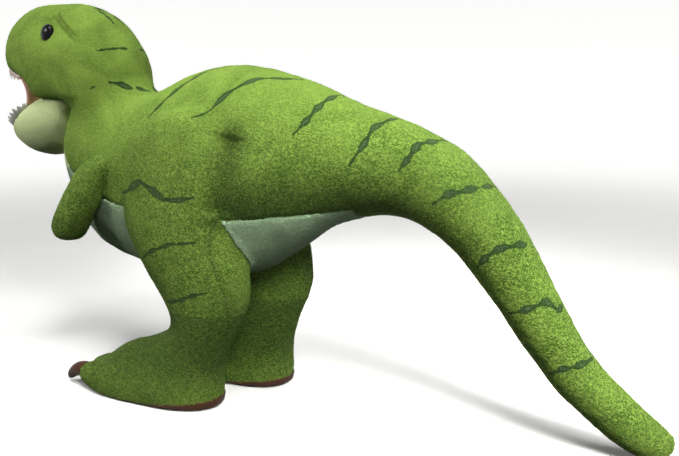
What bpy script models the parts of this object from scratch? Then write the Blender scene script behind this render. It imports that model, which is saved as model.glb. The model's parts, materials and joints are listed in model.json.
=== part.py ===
"""Stuffed dinosaur: a plush tyrannosaur that stands on two feet and the end of its tail.

Frame: +Z up, the nose points to -Y and the toy's own left side is +X.  The origin lies on the floor
in the middle of the bounding box.  Every soft form is a row of cross-sections.  One section is a
chord in the side view, from a high (or front) point to a low (or back) point, plus a half width
across the toy.  Fabric panels are arcs of those sections with a wall, and the stuffing is the closed
form inside them.  Lengths are in millimetres until place() turns them into metres.
"""

import math

import bmesh
import bpy
from mathutils import Vector

MM = 0.001

# Driving dimensions
TOY_LENGTH = 440.6          # from the nose to the end of the tail
TOY_HEIGHT = 243.1          # from the floor to the top of the head
FABRIC_WALL = 2.6           # short-pile plush with its backing
LINING_WALL = 1.5           # flat mouth lining
FELT_WALL = 1.2             # felt teeth
SEAM_GAP = 0.4              # clearance between neighbouring solids
STUFFING_GAP = 1.6          # clearance between the fabric and the stuffing
LIMB_GAP = 0.9              # clearance between a sewn-on limb and the body
ARM_GAP = 1.0               # clearance between an arm and the side of the body that it swings past
ORIGIN_BEHIND = 23.7        # the origin lies this far behind the heel line
FOOT_SPACING = 46.0         # between the middles of the two feet
STRIDE = 10.5               # each foot stands this far ahead of or behind the heel line
SOLE_THICKNESS = 2.0
SOLE_WIDTH = 35.0
SOLE_TAPER = 0.08           # how much narrower than its middle the sole's heel is
TOE_OVERHANG = 6.0          # how far the foot reaches past the sole at the toes
HEEL_OVERHANG = -1.0        # and at the heel
TAIL_SWEEP = 0.0008         # sideways curl of the tail, per millimetre squared
TAIL_SWEEP_START = 60.0
EYE_DIAMETER = 10.0
EYE_DOME = 4.0
EYE_RECESS = 1.2            # how far the rim of the eye sinks into the pile
EYE_SHANK = 4.0
EYE_SHANK_LENGTH = 11.0
WASHER_DIAMETER = 13.0
WASHER_THICKNESS = 1.6
WASHER_GAP = 0.78           # clearance across, between the washer's rim and the curved fabric
CLAW_REACH = 11.25          # how far a claw stands out of its base
CLAW_DIAMETER = 9.5
CLAW_DROOP = 6.5            # how far its tip hangs below its base
CLAW_BASE_Z = 12.0
CLAW_BURY = 4.7             # how far its base lies inside the toe
TOE_SPACING = 13.4
TOE_SETBACK = 5.0           # the outer toes end this far behind the middle one
TOOTH_DEPTH = 6.0
TOOTH_STRIP = 1.6           # height of the felt between two teeth
TOOTH_PITCH = 7.0
TOOTH_INSET = 2.0           # the felt stands this far inside the rim of the mouth
UPPER_TEETH_START = 4.0     # the teeth start this far ahead of the corner of the mouth
LOWER_TEETH_START = 12.0

# The side view (Y, Z) below is drawn at this length and height, with the heel line at Y = 0
DRAWN_LENGTH = 440.6
DRAWN_HEIGHT = 243.1
LENGTHEN = TOY_LENGTH / DRAWN_LENGTH
RAISE = TOY_HEIGHT / DRAWN_HEIGHT


def side_view(*places):
    """Drawn Y and Z values, in turn, at the toy's own length and height."""
    return tuple(value * (RAISE if index % 2 else LENGTHEN) for index, value in enumerate(places))


def drawn(rows):
    """Section rows at the toy's own length and height; the widths stay."""
    return [side_view(*row[:4]) + row[4:] for row in rows]


# Joints in the side view
NECK_PIVOT = side_view(-94.0, 168.0)
NECK_LEAN = math.radians(60)      # the neck points this far above straight ahead
NECK_ROOT = 28.0                  # radius of the head's round root inside the neck opening
NECK_SLACK = 9.0                  # width of the flexible gap around the neck
JAW_PIVOT = side_view(-146.0, 184.0)      # the corner of the mouth
TAIL_PIVOT = side_view(92.0, 149.0)
TAIL_COVERED = 1.0                # the tail's round root reaches this far past the belly panel's end
TAIL_SLACK = 10.0
# The room for an arm, drawn as the arm is and then sized with it
SHOULDER_PIVOT = (-84.0, 139.0)
SHOULDER_ROOT = 15.0
ARM_REACH = 60.0
ARM_SWING = (192, 304)            # directions that the arm sweeps, seen from its left, in degrees
EYE_PLACE = side_view(-128.0, 222.0)

# Section rows: high Y, high Z, low Y, low Z, half width
TORSO = drawn([
    (-70, 204, -122, 162, 28),
    (-61, 190, -130, 141, 29.5),
    (-43, 191, -128, 112, 31.5),
    (-20, 197, -104, 86, 36.5),
    (6, 199, -50, 75, 43.5),
    (33, 196, 6, 80, 44),
    (55, 188, 41, 96, 38),
    (77, 179, 68, 114, 31),
    (97, 173, 91, 121, 26.5),
    (117, 165, 107, 121, 24),
])
TAIL = drawn([
    (65, 183, 58, 113, 30),
    (79, 178, 73, 118, 28),
    (97, 173, 91, 121, 25.5),
    (118, 164, 108, 120, 22.5),
    (140, 149, 124, 113, 20),
    (160, 126, 134, 104, 17.5),
    (177, 101, 153, 82, 15.5),
    (191, 74, 168, 60, 14),
    (206, 50, 186, 36, 12.5),
    (221, 34, 206, 18, 11),
    (233, 23, 223, 5, 9),
    (241, 15, 236, 1, 6),
    (244, 10, 242, 4, 2.5),
])
HEAD = drawn([
    (-50, 176, -110, 138, 29),
    (-61, 190, -118, 152, 30),
    (-69, 204, -119, 166, 31),
    (-78, 217, -118, 178, 31),
    (-91, 230, -120, 183, 31),
    (-110, 239, -130, 176, 31),
    (-135, 243, -147, 176, 30),
    (-160, 242, -166, 178, 26),
    (-178, 236, -181, 184, 19),
    (-188, 225, -188, 196, 9),
    (-190, 214, -190, 207, 2.5),
])
JAW = drawn([
    (-120, 184, -125, 168, 5),
    (-123, 196, -136, 150, 22),
    (-139, 193, -147, 147, 24),
    (-158, 189, -162, 146, 23),
    (-177, 184, -178, 148, 19),
    (-190, 178, -190, 153, 12),
    (-196, 172, -196, 160, 5),
])
# Section rows with the middle of the limb: front Y, front Z, back Y, back Z, half width, middle X
LEG = drawn([
    (-15, 177, -7, 176, 1.5, 39),
    (-28, 174, 6, 170, 6, 39),
    (-42, 162, 16, 158, 9, 38.5),
    (-50, 138, 22, 138, 14, 36),
    (-49, 110, 24, 106, 18, 32),
    (-38, 86, 27, 82, 20, 27),
    (-26, 66, 28, 64, 20, 24),
    (-19, 50, 24, 46, 19, 23),
    (-27, 40, 19, 27, 18, 23),
    (-46, 34, 11, 5, 19, 23),
    (-62, 30, -22, -4, 20.5, 23),
    (-77, 25, -56, -5, 21.5, 23),
    (-88, 18, -82, -4, 19, 23),
    (-94, 11, -92, 1, 12, 23),
])
ARM = drawn([
    (-74, 148, -72, 145, 3, 36),
    (-80, 151, -74, 131, 7.5, 38),
    (-93, 146, -76, 119, 9, 39.5),
    (-103, 132, -82, 110, 10, 41),
    (-110, 117, -86, 101, 10.5, 41.5),
    (-113, 106, -91, 95, 9.5, 41.5),
    (-108, 97, -100, 94, 5, 41.5),
])

# Low point of a torso section (Y) and the angle from its high point to the belly seam, in degrees
BELLY_SEAM = [(-130, 152), (-104, 130), (-50, 115), (6, 116), (41, 122), (68, 150), (80, 176)]
BELLY_END = 70              # the belly panel runs to the section whose low point is here

# Flat faces of the mouth in the side view
PALATE = (side_view(-146.0, 187.5), side_view(-190.0, 201.0))
CHEEK = (side_view(-100.0, 193.5), side_view(-146.0, 187.5))
JAW_FLOOR = (side_view(-119.0, 186.5), side_view(-198.0, 168.5))

# Colours (linear RGB) and roughness
FINISH = {
    "green_plush": ((0.16, 0.27, 0.05), 0.95),
    "pale_plush": ((0.45, 0.52, 0.30), 0.95),
    "pink_lining": ((0.55, 0.22, 0.20), 0.9),
    "white_felt": ((0.55, 0.56, 0.50), 0.9),
    "brown_felt": ((0.07, 0.03, 0.012), 0.85),
    "black_plastic": ((0.006, 0.006, 0.006), 0.12),
    "white_plastic": ((0.7, 0.7, 0.68), 0.4),
    "stuffing": ((0.8, 0.8, 0.78), 1.0),
}

SIDES = ((1, "left"), (-1, "right"))
ARC_STEPS = 7               # sides of a panel from its one seam to the other
MOUTH_MARGIN = 40.0         # a mouth cutter reaches this far past the line that it follows
FAR = 600.0                 # a cutter reaches this far past the toy
SHARP_ANGLE = 40            # edges over this angle stay sharp


def material(name):
    """The Principled material of one finish, made once."""
    if name in bpy.data.materials:
        return bpy.data.materials[name]
    colour, roughness = FINISH[name]
    finish = bpy.data.materials.new(name)
    finish.use_nodes = True
    shader = finish.node_tree.nodes["Principled BSDF"]
    shader.inputs["Base Color"].default_value = (*colour, 1.0)
    shader.inputs["Roughness"].default_value = roughness
    shader.inputs["Metallic"].default_value = 0.0
    return finish


def place(x, y, z):
    """A point of the heel-line frame as a world point in metres."""
    return Vector((x, y - ORIGIN_BEHIND, z)) * MM


def add_object(name, builder, finish):
    """Put a bmesh into the scene as one named object with its faces pointing out."""
    bmesh.ops.recalc_face_normals(builder, faces=builder.faces[:])
    mesh = bpy.data.meshes.new(name)
    builder.to_mesh(mesh)
    builder.free()
    item = bpy.data.objects.new(name, mesh)
    bpy.context.collection.objects.link(item)
    mesh.materials.append(material(finish))
    mesh.shade_smooth()
    mesh.set_sharp_from_angle(angle=math.radians(SHARP_ANGLE))
    return item


def as_cutter(item):
    """Keep an object as a cutter only."""
    item.hide_render = True
    item.display_type = "WIRE"
    return item


def cut(item, *cutters, operation="DIFFERENCE"):
    for cutter in cutters:
        modifier = item.modifiers.new(cutter.name, "BOOLEAN")
        modifier.operation = operation
        modifier.solver = "EXACT"
        modifier.object = cutter
    return item


def smooth_rows(rows, steps=2):
    """The rows with Catmull-Rom rows between them."""
    result = []
    for index in range(len(rows) - 1):
        before = rows[max(index - 1, 0)]
        start, end = rows[index], rows[index + 1]
        after = rows[min(index + 2, len(rows) - 1)]
        for step in range(steps):
            t = step / steps
            row = [0.5 * (2 * b + (c - a) * t + (2 * a - 5 * b + 4 * c - d) * t ** 2
                          + (3 * b - a - 3 * c + d) * t ** 3)
                   for a, b, c, d in zip(before, start, end, after)]
            result.append(tuple(row))
    result.append(tuple(rows[-1]))
    return result


def sweep_of(y):
    """Sideways place of the body's middle plane at a distance behind the heels."""
    return -TAIL_SWEEP * max(y - TAIL_SWEEP_START, 0.0) ** 2


def section_point(row, angle, side=1, inset=0.0):
    """Point of a section: angle 0 at the high end, 180 degrees at the low end."""
    high = Vector((row[0], row[1]))
    low = Vector((row[2], row[3]))
    middle = (high + low) / 2
    half = (high - low) / 2
    half_width = row[4]
    centre_x = row[5] if len(row) > 5 else sweep_of(middle.x)
    inset = min(inset, 0.6 * half.length, 0.6 * half_width)
    along = half.normalized() * (half.length - inset) * math.cos(angle)
    across = side * (half_width - inset) * math.sin(angle)
    return Vector((centre_x + across, middle.x + along.x, middle.y + along.y))


def loft(loops, strip_ends=False):
    """Join point loops into one closed mesh; the ends of a panel are strips of quads."""
    builder = bmesh.new()
    rings = [[builder.verts.new(place(*point)) for point in loop] for loop in loops]
    count = len(rings[0])
    for lower, upper in zip(rings, rings[1:]):
        for index in range(count):
            following = (index + 1) % count
            builder.faces.new((lower[index], lower[following], upper[following], upper[index]))
    for ring in (rings[0], rings[-1]):
        if strip_ends:
            for index in range(count // 2 - 1):
                builder.faces.new((ring[index], ring[index + 1],
                                   ring[count - 2 - index], ring[count - 1 - index]))
        else:
            builder.faces.new(ring)
    return builder


def split(builder):
    """Split the bent faces between two sections, so that every cut reads the same surface."""
    bmesh.ops.triangulate(builder, faces=builder.faces[:])
    return builder


def panel(name, rows, side, start, end, finish, steps=ARC_STEPS):
    """A fabric panel: an arc of every section, with the fabric's wall."""
    loops = []
    for row in rows:
        chord = (Vector(row[0:2]) - Vector(row[2:4])).length
        trim = 0.5 * SEAM_GAP / max(min(row[4], chord / 2), 1.0)
        first = start(row) + trim
        last = end(row) - trim
        angles = [first + (last - first) * step / steps for step in range(steps + 1)]
        outer = [section_point(row, angle, side) for angle in angles]
        inner = [section_point(row, angle, side, FABRIC_WALL) for angle in reversed(angles)]
        loops.append(outer + inner)
    return add_object(name, split(loft(loops, strip_ends=True)), finish)


def half_panel(name, rows, side, finish):
    """A panel on one side, from the seam at the high end to the seam at the low end."""
    return panel(name, rows, side, lambda row: 0.0, lambda row: math.pi, finish)


def core(name, rows, inset, finish="stuffing"):
    """The closed form of a row of sections, inset from their outline."""
    count = 2 * ARC_STEPS
    loops = [[section_point(row, 2 * math.pi * step / count, 1, inset) for step in range(count)]
             for row in rows]
    return add_object(name, split(loft(loops)), finish)


def prism(name, outline, axis, low, high, finish="stuffing"):
    """Extrude an outline of (Y, Z) points along X, or of (X, Y) points along Z."""
    if axis == "X":
        loops = [[(level, a, b) for a, b in outline] for level in (low, high)]
    else:
        loops = [[(a, b, level) for a, b in outline] for level in (low, high)]
    return add_object(name, loft(loops), finish)


def opening_outline(pivot, ahead, setback, moving, radius=None):
    """Side of a flexible opening: a line across the joint, with a round root if a radius is given.

    ahead is the angle that points along the moving part.  The moving side's outline starts setback
    before the pivot; the other outline is the space that the moving part keeps out of.
    """
    out = Vector((math.cos(ahead), math.sin(ahead)))
    across = Vector((-out.y, out.x))
    centre = Vector(pivot)
    arc = []
    if radius:
        half = math.acos(setback / radius)
        steps = 8
        for step in range(-steps, steps + 1):
            turn = -half * step / steps
            arc.append(centre - out * radius * math.cos(turn) + across * radius * math.sin(turn))
    first = centre - out * setback + across * FAR
    last = centre - out * setback - across * FAR
    reach = out * (FAR if moving else -FAR)
    return [tuple(point) for point in (first, *arc, last, last + reach, first + reach)]


def above_line(line, rise):
    """Outline of everything above a sloping line that is lifted by rise, out to both sides."""
    near_y = line[0][0] + MOUTH_MARGIN
    far_y = line[1][0] - MOUTH_MARGIN
    return [(near_y, height_on(line, near_y) + rise), (far_y, height_on(line, far_y) + rise),
            (far_y, FAR), (near_y, FAR)]


def height_on(line, y):
    (first_y, first_z), (last_y, last_z) = line
    return first_z + (last_z - first_z) * (y - first_y) / (last_y - first_y)


def mouth_outline(rise):
    """Outline of everything under the cheeks and the palate, raised by rise."""
    back, corner = CHEEK[0], PALATE[0]
    tip_y = PALATE[1][0] - MOUTH_MARGIN
    return [(back[0], back[1] + rise), (corner[0], corner[1] + rise),
            (tip_y, height_on(PALATE, tip_y) + rise), (tip_y, -FAR), (back[0], -FAR)]


def seam_angle(row):
    """Where the belly panel meets a side cover, read from BELLY_SEAM by the section's low point."""
    low_y = row[2] / LENGTHEN
    for (first_y, first_angle), (last_y, last_angle) in zip(BELLY_SEAM, BELLY_SEAM[1:]):
        if low_y <= last_y:
            break
    share = min(max((low_y - first_y) / (last_y - first_y), 0.0), 1.0)
    return math.radians(first_angle + (last_angle - first_angle) * share)


def build_torso(cover_cutters, stuffing_cutters):
    rows = smooth_rows(TORSO)
    belly_rows = [row for row in rows if row[2] < BELLY_END * LENGTHEN]
    for side, word in SIDES:
        cut(panel(f"torso_cover_{word}", rows, side, lambda row: 0.0, seam_angle,
                  "green_plush"), *cover_cutters)
    cut(panel("belly_panel", belly_rows, 1, seam_angle,
              lambda row: 2 * math.pi - seam_angle(row), "pale_plush"), *cover_cutters)
    cut(core("torso_stuffing", rows, FABRIC_WALL + STUFFING_GAP), *stuffing_cutters)


def leg_rows(side):
    """Section rows of one leg: the left foot stands ahead and the right foot behind."""
    hip_height = LEG[2][1]
    result = []
    for front_y, front_z, back_y, back_z, half_width, middle_x in LEG:
        share = 1.0 - max(front_z + back_z, 0.0) / 2 / hip_height
        step = -side * STRIDE * max(share, 0.0)
        spread = FOOT_SPACING / 2 - LEG[-1][5]
        result.append((front_y + step, front_z, back_y + step, back_z, half_width,
                       side * (middle_x + spread * max(share, 0.0))))
    return result


def sole_outline(side):
    """Long oval of a sole, a little broader over the toes than at the heel."""
    toe_y = LEG[-1][0] + TOE_OVERHANG
    heel_y = max(row[2] for row in LEG[-5:]) - HEEL_OVERHANG
    middle_y = (toe_y + heel_y) / 2
    points = []
    count = 24
    for index in range(count):
        angle = 2 * math.pi * index / count
        half_width = SOLE_WIDTH / 2 * (1 - SOLE_TAPER * math.sin(angle))
        points.append((side * FOOT_SPACING / 2 + half_width * math.cos(angle),
                       middle_y - side * STRIDE + (heel_y - toe_y) / 2 * math.sin(angle)))
    return points


def claw(name, x, base_y):
    """A drooping cone whose round base is trimmed to the toe."""
    loops = []
    rings = 5
    count = 8
    first_bend, last_bend, arc = (math.radians(angle) for angle in (12, 60, 75))
    blunt = 0.6
    for ring in range(rings + 1):
        t = ring / rings
        bend = first_bend + (last_bend - first_bend) * t
        centre_y = base_y - CLAW_REACH * math.sin(arc * t)
        centre_z = CLAW_BASE_Z - CLAW_DROOP * t * t
        radius = max(CLAW_DIAMETER / 2 * (1 - t) ** 0.7, blunt)
        loop = []
        for step in range(count):
            angle = 2 * math.pi * step / count
            across = radius * math.cos(angle)
            rise = radius * math.sin(angle)
            loop.append((x + across, centre_y - rise * math.sin(bend),
                         centre_z + rise * math.cos(bend)))
        loops.append(loop)
    return add_object(name, loft(loops), "brown_felt")


def build_leg(side, word, leg_space):
    rows = leg_rows(side)
    floor = as_cutter(prism(f"floor_{word}", [(-FAR, -FAR), (FAR, -FAR), (FAR, FAR), (-FAR, FAR)],
                            "Z", -FAR, SOLE_THICKNESS + SEAM_GAP))
    cut(half_panel(f"leg_{word}_outer_panel", rows, side, "green_plush"), floor)
    cut(half_panel(f"leg_{word}_inner_panel", rows, -side, "green_plush"), floor)
    cut(core(f"leg_{word}_stuffing", rows[2:-1], FABRIC_WALL + STUFFING_GAP), floor)
    prism(f"sole_{word}", sole_outline(side), "Z", 0.0, SOLE_THICKNESS, "brown_felt")
    for offset, toe in ((TOE_SPACING, "outer"), (0.0, "middle"), (-TOE_SPACING, "inner")):
        setback = TOE_SETBACK * (offset / TOE_SPACING) ** 2
        item = claw(f"claw_{word}_{toe}", side * (FOOT_SPACING / 2 + offset),
                    LEG[-1][0] - side * STRIDE + CLAW_BURY + setback)
        cut(item, leg_space)


def side_surface(rows, y, z, inset=0.0):
    """How far out the side of a form, or its inside at an inset, is at a place in the side view."""
    nearest = None
    fine = 60
    for row in smooth_rows(rows, 8):
        for step in range(1, fine):
            point = section_point(row, math.pi * step / fine, 1, inset)
            distance = math.hypot(point.y - y, point.z - z)
            if nearest is None or distance < nearest[0]:
                nearest = (distance, point.x)
    return nearest[1]


def disc_loops(x_radius_pairs, side, count=12):
    """Rings around an axis along X through the eye."""
    eye_y, eye_z = EYE_PLACE
    loops = []
    for x, radius in x_radius_pairs:
        loops.append([(side * x, eye_y + radius * math.cos(2 * math.pi * step / count),
                       eye_z + radius * math.sin(2 * math.pi * step / count))
                      for step in range(count)])
    return loops


def build_eye(side, word):
    """A domed safety eye, the washer that locks it, and the cutters for both."""
    rim_x = side_surface(HEAD, *EYE_PLACE) - EYE_RECESS
    radius = EYE_DIAMETER / 2
    shank = EYE_SHANK / 2
    shank_end = rim_x - EYE_SHANK_LENGTH
    dome = [(rim_x + EYE_DOME * math.sin(math.pi / 2 * t), radius * math.cos(math.pi / 2 * t))
            for t in (0.0, 0.3, 0.55, 0.8, 0.95)]
    seat = rim_x - 0.01
    profile = [(shank_end, shank * 0.7), (shank_end + 1, shank), (seat, shank)] + dome
    add_object(f"eye_{word}", loft(disc_loops(profile, side)), "black_plastic")

    rim_sides = 16
    turns = [2 * math.pi * step / rim_sides for step in range(rim_sides)]
    reach = WASHER_DIAMETER / 2
    washer_top = min(side_surface(HEAD, EYE_PLACE[0] + reach * math.cos(turn),
                                  EYE_PLACE[1] + reach * math.sin(turn), FABRIC_WALL)
                     for turn in turns) - WASHER_GAP
    washer_base = washer_top - WASHER_THICKNESS
    washer = add_object(f"eye_washer_{word}", loft(disc_loops(
        [(washer_base, reach), (washer_top, reach)], side, rim_sides)), "white_plastic")
    hole = as_cutter(add_object(f"shank_space_{word}", loft(disc_loops(
        [(shank_end - SEAM_GAP, shank + SEAM_GAP), (rim_x + FAR, shank + SEAM_GAP)], side)),
        "stuffing"))
    cut(washer, hole)
    recess = as_cutter(add_object(f"eye_space_{word}", loft(disc_loops(
        [(rim_x - SEAM_GAP, radius + SEAM_GAP), (rim_x + FAR, radius + SEAM_GAP)], side)),
        "stuffing"))
    pocket = as_cutter(add_object(f"washer_space_{word}", loft(disc_loops(
        [(washer_base - SEAM_GAP, reach + SEAM_GAP), (rim_x + FAR, reach + SEAM_GAP)],
        side, rim_sides)), "stuffing"))
    return hole, recess, pocket


def lining_outline(line, direction):
    """Side view of a flat mouth lining that follows a line, with its wall above or below it."""
    back = Vector(line[0])
    front_y = line[1][0] - MOUTH_MARGIN
    front = Vector((front_y, height_on(line, front_y)))
    wall = Vector((0, direction * LINING_WALL))
    return [tuple(point) for point in (back, front, front + wall, back + wall)]


def rim_path(rows, line, side_of_line):
    """Points along a mouth face near its edge: left side to the front, then the right side back."""
    left = []
    for row in rows:
        high = Vector((row[0], row[1]))
        low = Vector((row[2], row[3]))
        span = high.y - low.y
        middle_y = (high.x + low.x) / 2
        share = (high.y - height_on(line, middle_y)) / span
        angle = math.acos(max(-1.0, min(1.0, 1 - 2 * share)))
        point = section_point(row, angle, 1, TOOTH_INSET)
        left.append(Vector((point.x, point.y, height_on(line, point.y) + side_of_line)))
    right = [Vector((-point.x, point.y, point.z)) for point in reversed(left)]
    return left + right


def resample(path, pitch):
    """Points at an even pitch along a path."""
    lengths = [0.0]
    for first, second in zip(path, path[1:]):
        lengths.append(lengths[-1] + (second - first).length)
    count = 2 * round(lengths[-1] / pitch)
    result = []
    for index in range(count + 1):
        wanted = lengths[-1] * index / count
        place_in = max(i for i, length in enumerate(lengths[:-1]) if length <= wanted + 1e-9)
        share = (wanted - lengths[place_in]) / (lengths[place_in + 1] - lengths[place_in])
        result.append(path[place_in].lerp(path[place_in + 1], share))
    return result


def teeth(name, path, direction):
    """A felt strip around the front of a mouth face, cut into a zigzag."""
    points = resample(path, TOOTH_PITCH)
    loops = []
    for index, point in enumerate(points):
        before = points[max(index - 1, 0)]
        after = points[min(index + 1, len(points) - 1)]
        along = (after - before).normalized()
        outward = Vector((along.y, -along.x, 0)).normalized() * FELT_WALL / 2
        depth = TOOTH_DEPTH if index % 2 else TOOTH_STRIP
        tip = point + Vector((0, 0, direction * depth))
        loops.append([point + outward, point - outward, tip - outward, tip + outward])
    return add_object(name, loft(loops), "white_felt")


def build_head(neck_line, neck_rest):
    rows = smooth_rows(HEAD)
    holes = [build_eye(side, word) for side, word in SIDES]
    mouth = as_cutter(prism("mouth_space", mouth_outline(LINING_WALL + SEAM_GAP), "X", -FAR, FAR))
    for (side, word), (hole, recess, pocket) in zip(SIDES, holes):
        cut(half_panel(f"head_cover_{word}", rows, side, "green_plush"),
            neck_line, mouth, hole, recess)
    stuffing = cut(core("head_stuffing", rows[:-2], FABRIC_WALL + STUFFING_GAP), neck_rest, mouth)
    for hole, recess, pocket in holes:
        cut(stuffing, hole, pocket)

    slab = as_cutter(prism("palate_slab", lining_outline(PALATE, 1), "X", -FAR, FAR))
    cut(core("palate_lining", rows, 0.0, "pink_lining"), slab, operation="INTERSECT")
    front_rows = [row for row in rows if (row[0] + row[2]) / 2 < PALATE[0][0] - UPPER_TEETH_START]
    teeth("upper_teeth", rim_path(front_rows, PALATE, -SEAM_GAP), -1)


def build_jaw():
    rows = smooth_rows(JAW)
    open_top = as_cutter(prism("jaw_space", above_line(JAW_FLOOR, -LINING_WALL - SEAM_GAP),
                               "X", -FAR, FAR))
    cut(panel("jaw_cover", rows, 1, lambda row: 0.0, lambda row: 2 * math.pi, "pale_plush",
              2 * ARC_STEPS), open_top)
    cut(core("jaw_stuffing", rows[2:-1], FABRIC_WALL + STUFFING_GAP), open_top)
    slab = as_cutter(prism("jaw_slab", lining_outline(JAW_FLOOR, -1), "X", -FAR, FAR))
    cut(core("jaw_lining", rows, 0.0, "pink_lining"), slab, operation="INTERSECT")
    front_rows = [row for row in rows if (row[0] + row[2]) / 2 < JAW_PIVOT[0] - LOWER_TEETH_START]
    teeth("lower_teeth", rim_path(front_rows, JAW_FLOOR, SEAM_GAP), 1)


def arm_rows(side):
    return [row[:5] + (side * row[5],) for row in ARM]


def swing_outline():
    """Side view of the room that an arm swings in, at the toy's own length and height."""
    centre = Vector(SHOULDER_PIVOT)
    forward, back = ARM_SWING

    def arc(radius, first, last, steps):
        angles = [math.radians(first + (last - first) * step / steps) for step in range(steps + 1)]
        return [side_view(*(centre + Vector((math.cos(a), math.sin(a))) * radius)) for a in angles]

    return arc(SHOULDER_ROOT, back, forward + 360, 12) + arc(ARM_REACH, forward, back, 4)


def build_arm(side, word):
    rows = arm_rows(side)
    half_panel(f"arm_{word}_outer_panel", rows, side, "green_plush")
    half_panel(f"arm_{word}_inner_panel", rows, -side, "green_plush")
    core(f"arm_{word}_stuffing", rows[1:-1], FABRIC_WALL + STUFFING_GAP)


def build_tail(tail_rest):
    for side, word in SIDES:
        cut(half_panel(f"tail_cover_{word}", TAIL, side, "green_plush"), tail_rest)
    cut(core("tail_stuffing", TAIL[:-2], FABRIC_WALL + STUFFING_GAP), tail_rest)


def build():
    for item in list(bpy.data.objects):
        bpy.data.objects.remove(item)
    neck_ahead = math.pi - NECK_LEAN

    def neck_cutter(name, setback, moving, radius=None):
        return as_cutter(prism(name, opening_outline(NECK_PIVOT, neck_ahead, setback, moving,
                                                     radius), "X", -FAR, FAR))

    def tail_cutter(name, setback, moving, radius):
        centre = (sweep_of(TAIL_PIVOT[0]), TAIL_PIVOT[0])
        return as_cutter(prism(name, opening_outline(centre, math.pi / 2, setback, moving,
                                                     radius), "Z", -FAR, FAR))

    neck_edge = neck_cutter("neck_edge", NECK_SLACK, True)
    neck_pocket = neck_cutter("neck_pocket", NECK_SLACK, True, NECK_ROOT + SEAM_GAP)
    neck_line = neck_cutter("neck_line", 0.0, False)
    neck_rest = neck_cutter("neck_rest", 0.0, False, NECK_ROOT)
    tail_root = TAIL_PIVOT[0] - BELLY_END * LENGTHEN + TAIL_COVERED
    tail_pocket = tail_cutter("tail_pocket", TAIL_SLACK, True, tail_root + SEAM_GAP)
    tail_rest = tail_cutter("tail_rest", 0.0, False, tail_root)
    leg_spaces = [as_cutter(core(f"leg_space_{word}", leg_rows(side), -LIMB_GAP))
                  for side, word in SIDES]
    arm_side = min(row[5] - row[4] for row in ARM) - ARM_GAP
    arm_spaces = [as_cutter(prism(f"arm_space_{word}", swing_outline(), "X",
                                  *sorted((side * arm_side, side * FAR))))
                  for side, word in SIDES]
    limbs = leg_spaces + arm_spaces
    build_torso([neck_edge, tail_pocket, *limbs], [neck_pocket, tail_pocket, *limbs])
    for (side, word), leg_space in zip(SIDES, leg_spaces):
        build_leg(side, word, leg_space)
        build_arm(side, word)
    build_tail(tail_rest)
    build_head(neck_line, neck_rest)
    build_jaw()


build()
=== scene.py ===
import json
import math

import bmesh
import bpy
import numpy as np
from mathutils import Matrix, Vector, noise
from mathutils.bvhtree import BVHTree


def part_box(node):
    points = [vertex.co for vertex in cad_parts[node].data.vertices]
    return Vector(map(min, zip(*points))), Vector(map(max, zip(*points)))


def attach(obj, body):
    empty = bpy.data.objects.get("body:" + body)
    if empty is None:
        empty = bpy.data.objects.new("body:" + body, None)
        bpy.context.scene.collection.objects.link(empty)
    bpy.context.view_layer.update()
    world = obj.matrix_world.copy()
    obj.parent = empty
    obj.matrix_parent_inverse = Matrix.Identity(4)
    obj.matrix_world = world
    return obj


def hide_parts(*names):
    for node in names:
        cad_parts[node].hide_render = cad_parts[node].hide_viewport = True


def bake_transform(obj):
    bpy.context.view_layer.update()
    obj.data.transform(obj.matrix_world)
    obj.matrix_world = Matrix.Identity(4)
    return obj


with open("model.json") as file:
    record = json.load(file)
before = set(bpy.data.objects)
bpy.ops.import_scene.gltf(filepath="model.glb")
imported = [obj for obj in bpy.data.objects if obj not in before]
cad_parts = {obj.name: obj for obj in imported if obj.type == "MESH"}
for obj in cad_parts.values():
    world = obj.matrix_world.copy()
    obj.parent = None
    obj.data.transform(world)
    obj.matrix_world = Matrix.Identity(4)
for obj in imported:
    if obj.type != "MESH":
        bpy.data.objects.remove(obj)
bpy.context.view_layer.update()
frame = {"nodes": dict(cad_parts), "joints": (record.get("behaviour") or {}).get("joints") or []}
mm = 0.001
bothSides = {"left": 1, "right": -1}

# The side view is measured from the heel line, which lies behind the middle of the soles
stance = {
    "soleMiddleToHeelLine": 38,
    "stride": (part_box("sole_right")[0].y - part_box("sole_left")[0].y) / 2 / mm,
    "strideFades": 170,      # height at which the two legs stand level again
    "tailCurl": 0.0008,      # sideways, per millimetre squared
    "tailCurlStart": 60,
}
soleBoxes = [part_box("sole_left"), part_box("sole_right")]
heelLine = sum(low.y + high.y for low, high in soleBoxes) / 4 / mm + stance["soleMiddleToHeelLine"]


def spot(x, y, z):
    # a place in millimetres from the heel line, as a point of the frame
    return Vector((x, y + heelLine, z)) * mm


def curlAt(y):
    return -stance["tailCurl"] * max(y - stance["tailCurlStart"], 0) ** 2


cameraSetup = {"place": (0.3393, 0.2251, 0.1782), "look": (-0.8695, -0.4623, -0.1736), "lens": 37.11,
               "sensor": 36, "nearest": 0.01}
camera = bpy.data.objects.new("camera", bpy.data.cameras.new("camera"))
bpy.context.collection.objects.link(camera)
camera.location = cameraSetup["place"]
camera.rotation_euler = Vector(cameraSetup["look"]).to_track_quat("-Z", "Y").to_euler()
camera.data.lens = cameraSetup["lens"]
camera.data.sensor_width = cameraSetup["sensor"]
camera.data.clip_start = cameraSetup["nearest"]
bpy.context.scene.camera = camera
bpy.context.scene.view_settings.view_transform = "Standard"


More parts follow.
